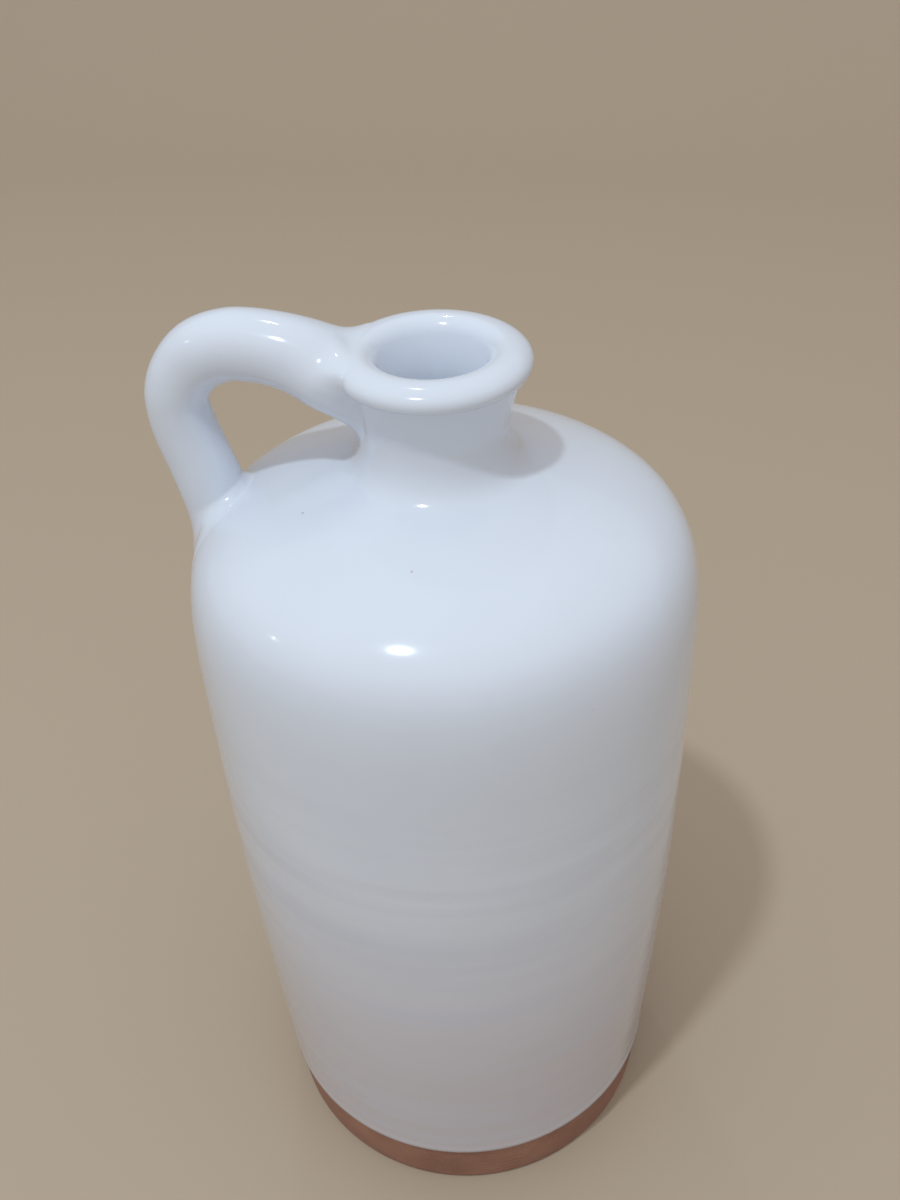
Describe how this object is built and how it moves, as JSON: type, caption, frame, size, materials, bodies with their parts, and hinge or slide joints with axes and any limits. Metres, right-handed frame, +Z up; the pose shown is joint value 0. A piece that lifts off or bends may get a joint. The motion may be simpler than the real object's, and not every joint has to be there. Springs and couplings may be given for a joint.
{
  "type": "ceramic bottle",
  "caption": "White-glazed earthenware bottle with a domed shoulder, short flared neck, rolled lip, round loop handle and bare clay foot; holds and pours a litre of liquid.",
  "frame": {"origin": "centre of the flat base, on the surface the bottle stands on", "axes": "+Z up along the bottle's axis; the handle lies in the XZ plane on the -X side"},
  "size_m": [0.1099, 0.1052, 0.2182],
  "materials": {
    "red_clay": "matte",
    "slip": "matte",
    "white_glaze": "gloss"
  },
  "bodies": {
    "root": {"thrown_body": "red_clay", "neck_slip": "slip", "neck_collar": "red_clay", "handle": "red_clay", "upper_handle_slip": "slip", "lower_handle_slip": "slip", "outer_glaze": "white_glaze", "handle_glaze": "white_glaze", "inner_glaze": "white_glaze"}
  },
  "joints": []
}
